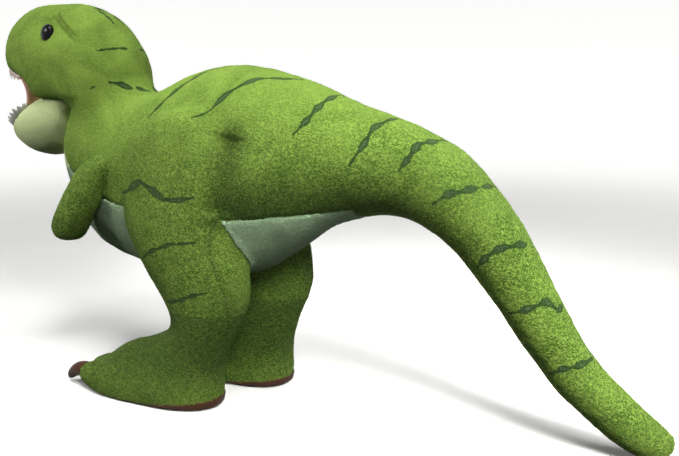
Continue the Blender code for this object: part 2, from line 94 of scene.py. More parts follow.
class Wire:
    # wraps one socket, so that sums of sockets add their Math nodes
    def __init__(self, tree, socket):
        self.tree = tree
        self.socket = socket

    def node(self, kind, settings=None, inputs=None, output=0):
        made = self.tree.nodes.new(kind)
        for name, value in (settings or {}).items():
            if name == "stops":
                ramp = made.color_ramp.elements
                while len(ramp) < len(value):
                    ramp.new(0.5)
                for stop, (place, colour) in zip(ramp, value):
                    stop.position = place
                    stop.color = colour
            else:
                setattr(made, name, value)
        for name, value in (inputs or {}).items():
            if isinstance(value, Wire):
                self.tree.links.new(value.socket, made.inputs[name])
            else:
                made.inputs[name].default_value = value
        return Wire(self.tree, made.outputs[output])

    def sum(self, operation, first, second):
        return self.node("ShaderNodeMath", {"operation": operation}, {0: first, 1: second})

    def __add__(self, other):
        return self.sum("ADD", self, other)

    def __radd__(self, other):
        return self.sum("ADD", other, self)

    def __sub__(self, other):
        return self.sum("SUBTRACT", self, other)

    def __rsub__(self, other):
        return self.sum("SUBTRACT", other, self)

    def __mul__(self, other):
        return self.sum("MULTIPLY", self, other)

    def __rmul__(self, other):
        return self.sum("MULTIPLY", other, self)

    def __abs__(self):
        return self.sum("ABSOLUTE", self, 0.0)

    def ramp(self, low, high):
        # 0 under low, 1 over high, smooth between
        return self.node("ShaderNodeMapRange", {"interpolation_type": "SMOOTHSTEP"},
                         {0: self, 1: low, 2: high, 3: 0.0, 4: 1.0})

    def tint(self, first, second):
        # first where this is 0, second where it is 1
        return self.node("ShaderNodeMix", {"data_type": "RGBA"}, {0: self, 6: first, 7: second}, 2)


def shaderOf(material):
    return material.node_tree.nodes["Principled BSDF"]


def newMaterial(name, roughness, sheen=0.0, sheenTint=(1, 1, 1, 1)):
    made = bpy.data.materials.new(name)
    made.use_nodes = True
    shader = shaderOf(made)
    shader.inputs["Roughness"].default_value = roughness
    shader.inputs["Sheen Weight"].default_value = sheen
    shader.inputs["Sheen Roughness"].default_value = 0.45
    shader.inputs["Sheen Tint"].default_value = sheenTint
    shader.inputs["Specular IOR Level"].default_value = 0.12
    start = Wire(made.node_tree, None)
    place = start.node("ShaderNodeTexCoord", output=3)
    return made, start, place


def connect(made, start, colour=None, height=None, bump=0.5, depth=0.0004, roughness=None):
    shader = shaderOf(made)
    if colour:
        made.node_tree.links.new(colour.socket, shader.inputs["Base Color"])
    if roughness:
        made.node_tree.links.new(roughness.socket, shader.inputs["Roughness"])
    if height:
        normal = start.node("ShaderNodeBump", None, {"Strength": bump, "Distance": depth, "Height": height})
        made.node_tree.links.new(normal.socket, shader.inputs["Normal"])
    return made


def noiseOn(start, place, scale, detail=2.0, distortion=0.0):
    return start.node("ShaderNodeTexNoise", None,
                      {"Vector": place, "Scale": scale, "Detail": detail, "Distortion": distortion})


plain = {"stripe": (0.16, 0.22, 0.12, 1), "core": (0.16, 0.22, 0.12, 1),
         "sheenTint": (0.9, 0.95, 0.8, 1), "sheen": 0.1}
plushLooks = {
    "green": {"root": (0.032, 0.080, 0.006, 1), "tip": (0.270, 0.410, 0.065, 1),
              "stripe": (0.008, 0.026, 0.008, 1), "core": (0.055, 0.115, 0.050, 1),
              "sheenTint": (0.6, 0.9, 0.2, 1), "sheen": 0.10},
    # painted shade: the pale pile again, darker and greyer, for the belly and rump panels under the body
    "belly": {"root": (0.20, 0.31, 0.17, 1), "tip": (0.38, 0.52, 0.30, 1), **plain},
    "pale": {"root": (0.42, 0.52, 0.22, 1), "tip": (0.74, 0.82, 0.42, 1), **plain},
}


pileLook = {
    "tuftScale": 760, "fibreScale": 1824, "patchScale": 38, "lie": (1.0, 0.6, 1.0),
    "ridgeWidth": 0.07, "ridgeShare": 0.55, "smoothest": 0.2, "contrast": 1.4, "patches": 0.5, "base": 0.25,
    "shadow": 0.35, "ink": 0.9, "depth": 0.0011,
}


def plush(name, look):
    # short pile: bright wandering tips over dark roots, smoother where tufted is low, painted shade, printed
    # stripes
    made, start, place = newMaterial(name, 0.95, look["sheen"], look["sheenTint"])

    def painted(attribute):
        return start.node("ShaderNodeAttribute", {"attribute_name": attribute}, output=2)

    lying = start.node("ShaderNodeMapping", None, {"Vector": place, "Scale": pileLook["lie"]})
    tufts = noiseOn(start, lying, pileLook["tuftScale"], 2.0, 0.6)
    fibres = noiseOn(start, lying, pileLook["fibreScale"], 2.0, 0.4)
    patches = noiseOn(start, place, pileLook["patchScale"], 3.0, 1.2)
    ridge = 1.0 - abs(tufts - 0.5).ramp(0.0, pileLook["ridgeWidth"])
    pile = ridge * pileLook["ridgeShare"] + fibres * (1 - pileLook["ridgeShare"])
    contrast = painted("tufted") * (1 - pileLook["smoothest"]) + pileLook["smoothest"]
    light = (pile - 0.40) * contrast * pileLook["contrast"] + patches * pileLook["patches"] + pileLook["base"]
    colour = light.ramp(0.0, 1.0).tint(look["root"], look["tip"])
    # painted shade: where the nap attribute is set, the pile is tinted towards its root colour darkened by the
    # shadow share
    dark = tuple(pileLook["shadow"] * c for c in look["root"][:3]) + (1,)
    colour = (painted("nap") * (1.15 - pile * 0.5)).ramp(-0.1, 1.0).tint(colour, dark)
    ink = (painted("stripe") + (fibres - 0.5) * 0.6).ramp(0.35, 0.62) * pileLook["ink"]
    colour = ink.tint(colour, (painted("core") * light).tint(look["stripe"], look["core"]))
    return connect(made, start, colour, pile * contrast, 1.0, pileLook["depth"])


def feltMaterial(name, dark, light, roughness=0.9):
    made, start, place = newMaterial(name, roughness, 0.15)
    fibres = noiseOn(start, place, 900, 4.0, 1.5)
    clouds = noiseOn(start, place, 130, 2.0)
    tone = fibres.ramp(0.3, 0.7) * 0.6 + clouds * 0.4
    return connect(made, start, tone.tint(dark, light), fibres, 0.5, 0.0003)


def glossMaterial(name, colour):
    made, start, place = newMaterial(name, 0.06)
    dust = noiseOn(start, place, 700, 3.0).ramp(0.55, 0.8) * 0.02
    shade = dust.tint(colour, (0.2, 0.2, 0.2, 1))
    return connect(made, start, shade, roughness=dust * 3 + 0.05)


materials = {
    "green": plush("green_pile", plushLooks["green"]),
    "pale": plush("pale_pile", plushLooks["pale"]),
    "belly": plush("shaded_pale_pile", plushLooks["belly"]),
    "pink": feltMaterial("pink_lining", (0.58, 0.30, 0.20, 1), (0.80, 0.50, 0.36, 1)),
    "felt": feltMaterial("white_felt", (0.50, 0.50, 0.46, 1), (0.78, 0.78, 0.72, 1)),
    "brown": feltMaterial("brown_felt", (0.020, 0.008, 0.004, 1), (0.085, 0.032, 0.012, 1)),
    "thread": feltMaterial("dark_thread", (0.010, 0.022, 0.006, 1), (0.030, 0.060, 0.014, 1)),
    "eye": glossMaterial("black_gloss", (0.004, 0.004, 0.004, 1)),
    "nylon": feltMaterial("white_nylon", (0.62, 0.62, 0.60, 1), (0.75, 0.75, 0.73, 1), 0.4),
}
print("materials are ready")

lighting = {
    "key": {"power": 21, "size": 0.7, "place": (0.30, 0.15, 1.5)},
    "head": {"power": 0.36, "size": 0.4, "place": (0.75, -0.65, 0.70), "aim": (0.02, -0.19, 0.225),
             "spread": 32},
    "tail": {"power": 1.5, "size": 0.4, "place": (0.55, 0.75, 0.80), "aim": (0, 0.19, 0.04), "spread": 32},
    "belly": {"power": 0.008, "size": 0.1, "place": (0.40, 0.42, 0.02), "aim": (0.02, 0.02, 0.105),
              "spread": 12},
}
studio = {
    "sky": 0.12, "ground": 0.018, "stage": (0.93, 0.925, 0.90, 1),
    "glow": 0.74, "glowFrom": 0.35, "glowTo": 1.9,
    "radius": 1.5, "bend": 0.6, "bendSteps": 12, "wall": 2.5,
}


def areaLight(name, power, size, place, aim=(0, 0, 0.12), spread=180):
    lamp = bpy.data.lights.new(name, "AREA")
    lamp.spread = math.radians(spread)
    lamp.energy = power
    lamp.size = size
    holder = bpy.data.objects.new(name, lamp)
    bpy.context.collection.objects.link(holder)
    holder.location = place
    holder.rotation_euler = (Vector(aim) - Vector(place)).to_track_quat("-Z", "Y").to_euler()


def makeStage():
    for name, lamp in lighting.items():
        areaLight(name, **lamp)
    world = bpy.data.worlds.new("studio")
    world.use_nodes = True
    bpy.context.scene.world = world
    start = Wire(world.node_tree, None)
    direction = start.node("ShaderNodeTexCoord")
    height = start.node("ShaderNodeSeparateXYZ", None, {0: direction}, 2)
    sky, ground, glow = studio["sky"], studio["ground"], studio["glow"]
    shade = height.ramp(-0.12, 0.12).tint((ground, ground, ground, 1), (sky, sky, sky, 1))
    world.node_tree.links.new(shade.socket, world.node_tree.nodes["Background"].inputs["Color"])

    builder = bmesh.new()
    bmesh.ops.create_circle(builder, cap_ends=True, segments=96, radius=studio["radius"])
    rim = [edge for edge in builder.edges if edge.is_boundary]
    for step in range(1, studio["bendSteps"] + 1):
        turn = math.radians(90 / studio["bendSteps"] * step)
        out = studio["radius"] + studio["bend"] * math.sin(turn)
        grown = bmesh.ops.extrude_edge_only(builder, edges=rim)["geom"]
        rim = [edge for edge in ofKind(grown, bmesh.types.BMEdge) if edge.is_boundary]
        for point in ofKind(grown, bmesh.types.BMVert):
            flat = Vector((point.co.x, point.co.y, 0)).normalized() * out
            point.co = (flat.x, flat.y, studio["bend"] * (1 - math.cos(turn)))
    grown = bmesh.ops.extrude_edge_only(builder, edges=rim)["geom"]
    bmesh.ops.translate(builder, verts=ofKind(grown, bmesh.types.BMVert), vec=(0, 0, studio["wall"]))
    floor = objectFrom("studio_floor", builder, None)
    paper, start, place = newMaterial("stage_paper", 0.95)
    grain = noiseOn(start, place, 60, 2.0)
    colour = grain.tint(studio["stage"], tuple(0.985 * c for c in studio["stage"][:3]) + (1,))
    distance = place.node("ShaderNodeVectorMath", {"operation": "LENGTH"}, {0: place}, 1)
    lit = distance.ramp(studio["glowFrom"], studio["glowTo"]).tint((0, 0, 0, 1), (glow, glow, glow, 1))
    shader = shaderOf(paper)
    paper.node_tree.links.new(lit.socket, shader.inputs["Emission Color"])
    shader.inputs["Emission Strength"].default_value = 1.0
    floor.data.materials.append(connect(paper, start, colour))
    floor.visible_diffuse = False


def objectFrom(name, builder, material):
    mesh = bpy.data.meshes.new(name)
    builder.to_mesh(mesh)
    builder.free()
    made = bpy.data.objects.new(name, mesh)
    bpy.context.collection.objects.link(made)
    if material:
        mesh.materials.append(materials[material])
    mesh.shade_smooth()
    return made


def ofKind(parts, kind):
    return [part for part in parts if isinstance(part, kind)]


def grow(builder, cap, move):
    # carries the cap on to its next place and leaves a wall behind it
    grown = bmesh.ops.extrude_face_region(builder, geom=cap)["geom"]
    bmesh.ops.delete(builder, geom=cap, context="FACES_ONLY")
    cap = ofKind(grown, bmesh.types.BMFace)
    bmesh.ops.transform(builder, matrix=move, verts=cap[0].verts[:])
    return cap


def smoothSections(sections, steps=3):
    # Catmull-Rom between the drawn sections
    rows = [np.array(row, float) for row in sections]
    result = []
    for index in range(len(rows) - 1):
        a, b = rows[max(index - 1, 0)], rows[index]
        c, d = rows[index + 1], rows[min(index + 2, len(rows) - 1)]
        for step in range(steps):
            t = step / steps
            result.append(0.5 * (2 * b + (c - a) * t + (2 * a - 5 * b + 4 * c - d) * t ** 2
                                 + (3 * b - a - 3 * c + d) * t ** 3))
    return result + [rows[-1]]


def sectionPlace(row, side=1, shrink=0.0):
    # turns a unit circle into one cross-section
    high, low = Vector((row[0], row[1])), Vector((row[2], row[3]))
    middle, half = (high + low) / 2, (high - low) / 2
    x = side * row[5] if len(row) > 5 else curlAt(middle.x)
    length = max(half.length - shrink, 0.4)
    width = max(row[4] - shrink, 0.4)
    up = half.normalized()
    place = Matrix.Identity(4)
    place.col[0] = Vector((width, 0, 0, 0)) * mm
    place.col[1] = Vector((0, up.x * length, up.y * length, 0)) * mm
    place.col[2] = Vector((0, -up.y, up.x, 0)) * mm
    centre = spot(x, middle.x, middle.y)
    place.col[3] = (*centre, 1)
    return place


def sectionForm(name, sections, side=1, shrink=0.0, material=None, segments=28):
    # a closed form through its cross-sections: one circle, extruded from section to section
    builder = bmesh.new()
    bmesh.ops.create_circle(builder, cap_ends=True, segments=segments, radius=1)
    places = [sectionPlace(row, side, shrink) for row in smoothSections(sections)]
    bmesh.ops.transform(builder, matrix=places[0], verts=builder.verts)
    cap = builder.faces[:]
    bmesh.ops.duplicate(builder, geom=cap)    # this copy keeps the first end closed
    for before, after in zip(places, places[1:]):
        cap = grow(builder, cap, after @ before.inverted())
    bmesh.ops.remove_doubles(builder, verts=builder.verts, dist=0.00001)
    bmesh.ops.recalc_face_normals(builder, faces=builder.faces)
    return objectFrom(name, builder, material)


def lump(name, centre, size):
    # an egg-shaped swelling, such as a toe
    builder = bmesh.new()
    bmesh.ops.create_uvsphere(builder, u_segments=24, v_segments=16, radius=1)
    bmesh.ops.scale(builder, vec=Vector(size) * mm, verts=builder.verts)
    bmesh.ops.translate(builder, vec=spot(*centre), verts=builder.verts)
    return objectFrom(name, builder, None)


def evaluated(piece):
    # the piece's mesh with its modifiers worked in
    graph = bpy.context.evaluated_depsgraph_get()
    mesh = bpy.data.meshes.new_from_object(piece.evaluated_get(graph))
    piece.modifiers.clear()
    piece.data = mesh
    return piece


def withModifier(piece, kind, **settings):
    modifier = piece.modifiers.new(kind, kind)
    for name, value in settings.items():
        setattr(modifier, name, value)
    bpy.context.view_layer.update()
    return evaluated(piece)


def weld(name, parts, voxel, material):
    # one skin over several overlapping forms
    builder = bmesh.new()
    for part in parts:
        builder.from_mesh(part.data)
        bpy.data.objects.remove(part)
    skin = objectFrom(name, builder, None)
    withModifier(skin, "REMESH", mode="VOXEL", voxel_size=voxel, use_smooth_shade=True)
    withModifier(skin, "SMOOTH", factor=0.5, iterations=3)
    skin.data.materials.clear()
    skin.data.materials.append(materials[material])
    return skin


def fetched(data, key, width=3):
    flat = np.zeros(len(data) * width, np.float32)
    data.foreach_get(key, flat)
    return flat.reshape(-1, width).astype(float)


def coords(piece):
    return fetched(piece.data.vertices, "co")


def normals(piece):
    return fetched(piece.data.vertex_normals, "vector")


def setCoords(piece, points):
    piece.data.vertices.foreach_set("co", points.astype(np.float32).ravel())
    piece.data.update()


def setAttribute(piece, name, values):
    layer = piece.data.attributes.get(name) or piece.data.attributes.new(name, "FLOAT", "POINT")
    layer.data.foreach_set("value", np.asarray(values, np.float32))


def getAttribute(piece, name):
    return fetched(piece.data.attributes[name].data, "value", 1)[:, 0]


def lineHeight(line, y):
    (firstY, firstZ), (lastY, lastZ) = line
    return firstZ + (lastZ - firstZ) * (y - firstY) / (lastY - firstY)


def smoothStep(values, low, high):
    t = np.clip((values - low) / (high - low), 0, 1)
    return t * t * (3 - 2 * t)


def bell(values, width):
    # 1 at nothing, fading out over the width
    return np.exp(-(values / width) ** 2)


def alongRoute(points, directions, route, reach=9):
    # distance over the surface from a route, and the share of the route passed
    best = np.full(len(points), 1e3)
    share = np.zeros(len(points))
    route = [np.array(place, float) for place in route]
    lengths = np.cumsum([0] + [np.linalg.norm(b - a) for a, b in zip(route, route[1:])])
    for index, (a, b) in enumerate(zip(route, route[1:])):
        step = b - a
        t = np.clip(((points - a) @ step) / (step @ step), 0, 1)
        away = points - (a + t[:, None] * step)
        off = (away * directions).sum(1)
        flat = np.linalg.norm(away - off[:, None] * directions, axis=1)
        flat = np.where(np.abs(off) > reach * mm, 1e3, flat)
        closer = flat < best
        best = np.where(closer, flat, best)
        share = np.where(closer, (lengths[index] + t * np.linalg.norm(step)) / lengths[-1], share)
    return best, share


clothSetup = {"pressure": 4.0, "mass": 0.2, "stretch": 12, "shear": 6, "bending": 0.4, "frames": 18,
              "quickSwell": 1.0, "leastHeld": 0.02}


def puff(piece, held, cap):
    # cloth under pressure, held where the seams are; the print shows how little it moves a skin this small
    start = coords(piece)
    group = piece.vertex_groups.new(name="seams")
    for index in np.nonzero(held > clothSetup["leastHeld"])[0]:
        group.add([int(index)], float(held[index]), "REPLACE")
    cloth = piece.modifiers.new("fill", "CLOTH")
    cloth.settings.use_pressure = True
    cloth.settings.uniform_pressure_force = clothSetup["pressure"]
    cloth.settings.effector_weights.gravity = 0
    cloth.settings.mass = clothSetup["mass"]
    cloth.settings.tension_stiffness = clothSetup["stretch"]
    cloth.settings.compression_stiffness = clothSetup["stretch"]
    cloth.settings.shear_stiffness = clothSetup["shear"]
    cloth.settings.bending_stiffness = clothSetup["bending"]
    cloth.settings.vertex_group_mass = "seams"
    scene = bpy.context.scene
    for number in range(1, clothSetup["frames"] + 1):
        scene.frame_set(number)
    graph = bpy.context.evaluated_depsgraph_get()
    shaped = piece.evaluated_get(graph).to_mesh()
    move = fetched(shaped.vertices, "co") - start
    size = np.linalg.norm(move, axis=1)
    print(piece.name, "puffs by", round(float(size.mean() / mm), 2), "mm")
    move *= np.minimum(1, cap * mm / np.maximum(size, 1e-9))[:, None]
    piece.modifiers.clear()
    piece.vertex_groups.clear()
    scene.frame_set(1)
    setCoords(piece, start + move)


def pile(piece, amount=0.32, seed=0.0):
    # lifts and lowers the surface tuft by tuft
    points = coords(piece)
    shift = Vector((seed, 0, 0))
    waves = ((0.65, 620), (0.35, 1150), (0.9, 105))    # height and fineness of each
    lift = np.array([sum(height * noise.noise(Vector(p) * fine + shift) for height, fine in waves)
                     for p in points])
    setCoords(piece, points + normals(piece) * (lift * amount * mm)[:, None])


panelFit = {"lift": 0.2, "wall": 1.2, "sink": 1.4}
soleFit = {"lift": 0.7, "wall": 1.6, "sink": 0.3}


def panelOver(skin, name, mask, material, lift, wall, sink):
    # a sewn-on panel that lies over the skin: its own faces, given a wall; the skin sinks under it
    faces = [face.index for face in skin.data.polygons if all(mask[v] > 0 for v in face.vertices)]
    chosen = set(faces)
    builder = bmesh.new()
    builder.from_mesh(skin.data)
    builder.faces.ensure_lookup_table()
    others = [face for face in builder.faces if face.index not in chosen]
    bmesh.ops.delete(builder, geom=others, context="FACES")
    loose = [v for v in builder.verts if not v.link_faces]
    bmesh.ops.delete(builder, geom=loose, context="VERTS")
    builder.normal_update()
    for vertex in builder.verts:
        vertex.co += vertex.normal * lift * mm
    bmesh.ops.solidify(builder, geom=builder.faces[:], thickness=wall * mm)
    bmesh.ops.recalc_face_normals(builder, faces=builder.faces)
    made = objectFrom(name, builder, material)
    points = coords(skin)
    setCoords(skin, points - normals(skin) * (smoothStep(mask, 0, 1.5) * sink * mm)[:, None])
    return made


def cutOff(skin, name, place, direction):
    # the part of a skin on one side of a plane, closed where it is cut
    builder = bmesh.new()
    builder.from_mesh(skin.data)
    cut = bmesh.ops.bisect_plane(builder, geom=builder.verts[:] + builder.edges[:] + builder.faces[:],
                                 plane_co=place, plane_no=direction, clear_inner=True, dist=1e-6)
    edges = ofKind(cut["geom_cut"], bmesh.types.BMEdge)
    filled = bmesh.ops.holes_fill(builder, edges=edges, sides=0)["faces"]
    bmesh.ops.triangulate(builder, faces=filled)
    for edge in edges:
        if edge.is_valid:
            edge.smooth = False
    made = objectFrom(name, builder, None)
    made.data.materials.clear()
    made.data.materials.append(skin.data.materials[0])
    return made


bodyShape = {
    # high Y, high Z, low Y, low Z and half width of each section, in millimetres from the heel line
    "torso": [
        (-74, 204, -128, 168, 24), (-66, 188, -136, 146, 28), (-44, 190, -128, 113, 31.5),
        (-20, 199, -104, 85, 37), (6, 202, -50, 74, 43.5), (33, 198, 6, 78, 43.5),
        (55, 191, 41, 94, 38), (77, 181, 68, 112, 31), (97, 173, 91, 120, 26.5),
        (117, 165, 107, 121, 24),
    ],
    "tail": [
        (65, 184, 58, 110, 30), (79, 179, 73, 115, 28), (97, 173, 91, 120, 25.5),
        (118, 165, 108, 120, 22.5), (141, 151, 124, 113, 20), (162, 127, 134, 104, 17.5),
        (177, 101, 153, 82, 15.5), (191, 74, 168, 60, 14), (207, 50, 186, 36, 12.5),
        (222, 34, 206, 18, 11), (234, 23, 223, 5, 9), (242, 16, 237, 2, 6), (245, 11, 243, 5, 2.5),
    ],
    "head": [
        (-60, 183, -134, 146, 27), (-71, 191, -137, 154, 29), (-73, 206, -138, 163, 30.5),
        (-80, 220, -138, 168, 31), (-92, 233, -138, 166, 31), (-111, 241.5, -141, 160, 31),
        (-135, 245, -150, 158, 30), (-157, 244, -162, 168, 26.5), (-175, 236, -176, 184, 20),
        (-185, 226, -184, 199, 11), (-188, 217, -187, 208, 3),
    ],
    # front Y, front Z, back Y, back Z, half width, middle X
    "leg": [
        (-15, 177, -7, 176, 1.5, 39), (-28, 174, 6, 170, 6, 39), (-42, 162, 16, 158, 9, 38.5),
        (-52, 138, 22, 138, 14, 36), (-55, 109, 25, 106, 18, 32), (-46, 86, 30, 82, 20, 27),
        (-32, 66, 29, 64, 19.5, 24.5), (-24, 50, 20, 46, 18.5, 24), (-33, 42, 12, 26, 19, 24.5),
        (-46, 36, 8, -5, 22.5, 25), (-62, 30, -22, -12, 24, 25.5), (-74, 21, -56, -12, 24, 25.5),
        (-82, 12, -78, -8, 17.5, 25.5),
    ],
    "legPlaces": {"toeSpread": 13.6, "toeY": -73, "toeSetback": 2.5, "toeZ": 9.5, "toeSize": (9.2, 20, 9.8)},
    "shrink": 1.0, "tailGrow": 0.9, "voxel": 0.0036, "cap": 2.6, "lowest": 1.7,
    "palate": ((-153, 195.5), (-190, 206)), "cheek": ((-100, 182.5), (-142, 182.5)),
}


def legShift(side, height):
    share = 1 - np.maximum(height, 0) / stance["strideFades"]
    return -side * stance["stride"] * np.maximum(share, 0)


def legSections(side):
    rows = []
    for frontY, frontZ, backY, backZ, width, middle in bodyShape["leg"]:
        shift = float(legShift(side, (frontZ + backZ) / 2))
        rows.append((frontY + shift, frontZ, backY + shift, backZ, width, middle))
    return rows


def cutMouth(head):
    # takes away what lies under the cheeks and the palate
    back, front = bodyShape["palate"]
    beyond = front[0] - 20
    cheek = bodyShape["cheek"]
    builder = bmesh.new()
    under = 100
    outline = [*cheek, back, (beyond, lineHeight(bodyShape["palate"], beyond)), (beyond, under),
               (cheek[0][0], under)]
    corners = [builder.verts.new(spot(-60, y, z)) for y, z in outline]
    face = builder.faces.new(corners)
    grown = bmesh.ops.extrude_face_region(builder, geom=[face])["geom"]
    bmesh.ops.translate(builder, verts=ofKind(grown, bmesh.types.BMVert), vec=(0.12, 0, 0))
    bmesh.ops.recalc_face_normals(builder, faces=builder.faces)
    mouth = objectFrom("mouth_cut", builder, None)
    withModifier(head, "BOOLEAN", operation="DIFFERENCE", object=mouth, solver="EXACT")
    bpy.data.objects.remove(mouth)
    return head


def treeOf(piece):
    faces = [face.vertices[:] for face in piece.data.polygons]
    return BVHTree.FromPolygons([vertex.co for vertex in piece.data.vertices], faces)


def farFrom(tree, points):
    return np.array([tree.find_nearest(Vector(p))[3] for p in points])


def makeBody():
    shrink = bodyShape["shrink"]
    torso = sectionForm("torso", bodyShape["torso"], shrink=shrink)
    tail = sectionForm("tail", bodyShape["tail"], shrink=-bodyShape["tailGrow"])
    head = cutMouth(sectionForm("head", bodyShape["head"], shrink=shrink))
    legs = [sectionForm("leg", legSections(side), side, shrink) for side in bothSides.values()]
    toes = []
    toe = bodyShape["legPlaces"]
    middle = bodyShape["leg"][-1][5]
    for side in bothSides.values():
        for offset in (-1, 0, 1):
            centre = (side * (middle + offset * toe["toeSpread"]),
                      toe["toeY"] + float(legShift(side, 0)) + toe["toeSetback"] * offset ** 2, toe["toeZ"])
            toes.append(lump("toe", centre, toe["toeSize"]))
    trunk = treeOf(torso), treeOf(tail)
    limbs = [treeOf(part) for part in legs]
    skin = weld("body_skin", [torso, tail, head, *legs, *toes], bodyShape["voxel"], "green")
    return skin, trunk, limbs


seams = {
    # places across (out from the middle), along and up, in millimetres from the heel line
    "legBack": [(39, 18, 120), (42, 15, 108), (41, 14, 96), (38, 17, 84), (34, 20, 72), (31, 19, 60),
                (29, 14, 44)],
    "legFront": [(34, -51, 160), (38, -56, 135), (36, -56, 116), (30, -50, 96)],
    "hip": [(37, 24, 163), (41, 23, 154), (43, 22, 143), (43, 21, 131), (40, 17, 118)],
    "brow": [(15, -127, 236), (20, -118.5, 231.5), (25, -110, 225.5), (28, -104, 220.5), (30, -98, 217)],
    "belly": [(-136, 172), (-130, 156), (-116, 140), (-98, 126), (-62, 119), (0, 116), (30, 117), (55, 120),
              (86, 123)],
    "bellyEnd": 84,
    "sole": [(-70, 0.3), (-30, 1.8), (-6, 5.0), (12, 6.5)],
}
# how deep and how wide each pulls the surface in, and the print's reach through the cloth
pulls = {"legBack": (1.3, 1.1), "legFront": (0.9, 1.2), "hip": (3.6, 8.0)}
dressing = {
    "backRidge": 0.55, "browLift": 2.6, "browDrop": 2.4, "browWidth": 6.0, "socket": 1.6, "socketWidth": 9.0,
    "bellySeam": 0.7, "bellySeamWidth": 1.2, "printReach": 14, "printWidth": 0.82, "finestPrint": 0.55,
    "swell": 0.9, "swellScale": 32, "flankShade": 0.85, "shinShade": 0.42, "footShade": 0.25,
    "hipShade": 0.6, "hipShadeWidth": 9, "hipReach": 16,
}

stripes = {
    # route of each printed stripe, with its half width at the middle
    "headBack": ([(0, -112, 241), (3, -101, 236), (4, -90, 228)], 1.7),
    "nape": ([(24, -88, 211), (14, -80, 213), (2, -74, 214)], 1.1),
    "neck": ([(30, -88, 188), (24, -76, 192), (14, -67, 193), (0, -61, 193)], 1.6),
    "shoulder": ([(31, -40, 171), (25, -30, 181), (14, -14, 193), (4, -4, 198)], 1.9),
    "saddle": ([(41, 0, 172), (34, 8, 176), (28, 14, 183), (17, 27, 191), (11, 38, 192), (3, 48, 190)], 2.2),
    "loin": ([(31, 58, 163), (26, 63, 170), (14, 67, 179), (0, 70, 182)], 2.4),
    "rump": ([(27, 88, 148), (22, 94, 158), (16, 96, 165), (8, 101, 169), (0, 104, 170)], 2.2),
    "root": ([(23, 113, 146), (20, 117, 153), (15, 119, 158), (8, 124, 158), (0, 127, 158)], 2.6),
    "high": ([(20, 129, 130), (18, 136, 135), (14, 143, 136), (9, 149, 137), (0, 152, 136)], 2.3),
    "middle": ([(14, 149, 97), (16, 155, 105), (15, 160, 109), (10, 167, 110), (3, 173, 108)], 2.4),
    "low": ([(12, 166, 76), (14, 175, 80), (11, 182, 83), (8, 187, 78), (0, 190, 81)], 2.3),
    "tip": ([(10, 185, 45), (13, 192, 50), (10, 199, 52), (0, 204, 53)], 2.1),
    "thigh": ([(39, -56, 127), (44, -44, 129), (49, -30, 136), (51, -19, 131), (51, -12, 127), (49, -2, 127),
               (46, 7, 129)], 2.8),
    "shin": ([(43, -34, 90), (48, -22, 97), (49, -8, 102), (46, 8, 104)], 1.5),
    "ankle": ([(41, -19, 65), (44, -4, 69), (43, 4, 73), (41, 12, 75)], 1.7),
}


def folded(points, onLeg):
    # the surface in millimetres from the heel line, with both sides laid on the left one
    own = points / mm - np.array([0, heelLine, 0])
    curl = np.array([curlAt(y) for y in own[:, 1]])
    across = own[:, 0] - curl
    side = np.where(across >= 0, 1.0, -1.0)
    own[:, 0] = np.abs(across)
    share = np.maximum(1 - np.maximum(own[:, 2], 0) / stance["strideFades"], 0)
    own[:, 1] += onLeg * side * stance["stride"] * share
    return own, side


def foldedNormals(directions, side):
    turned = directions.copy()
    turned[:, 0] *= side
    return turned


def onRoute(own, facing, route, reach=9):
    # as alongRoute, in millimetres
    away, share = alongRoute(own * mm, facing, [np.array(place) * mm for place in route], reach)
    return away / mm, share


def belowLine(points, line):
    # millimetres under a line of the side view
    ys = np.array([place[0] for place in line], float)
    zs = np.array([place[1] for place in line], float)
    return np.interp(points[:, 1], ys, zs) - points[:, 2]


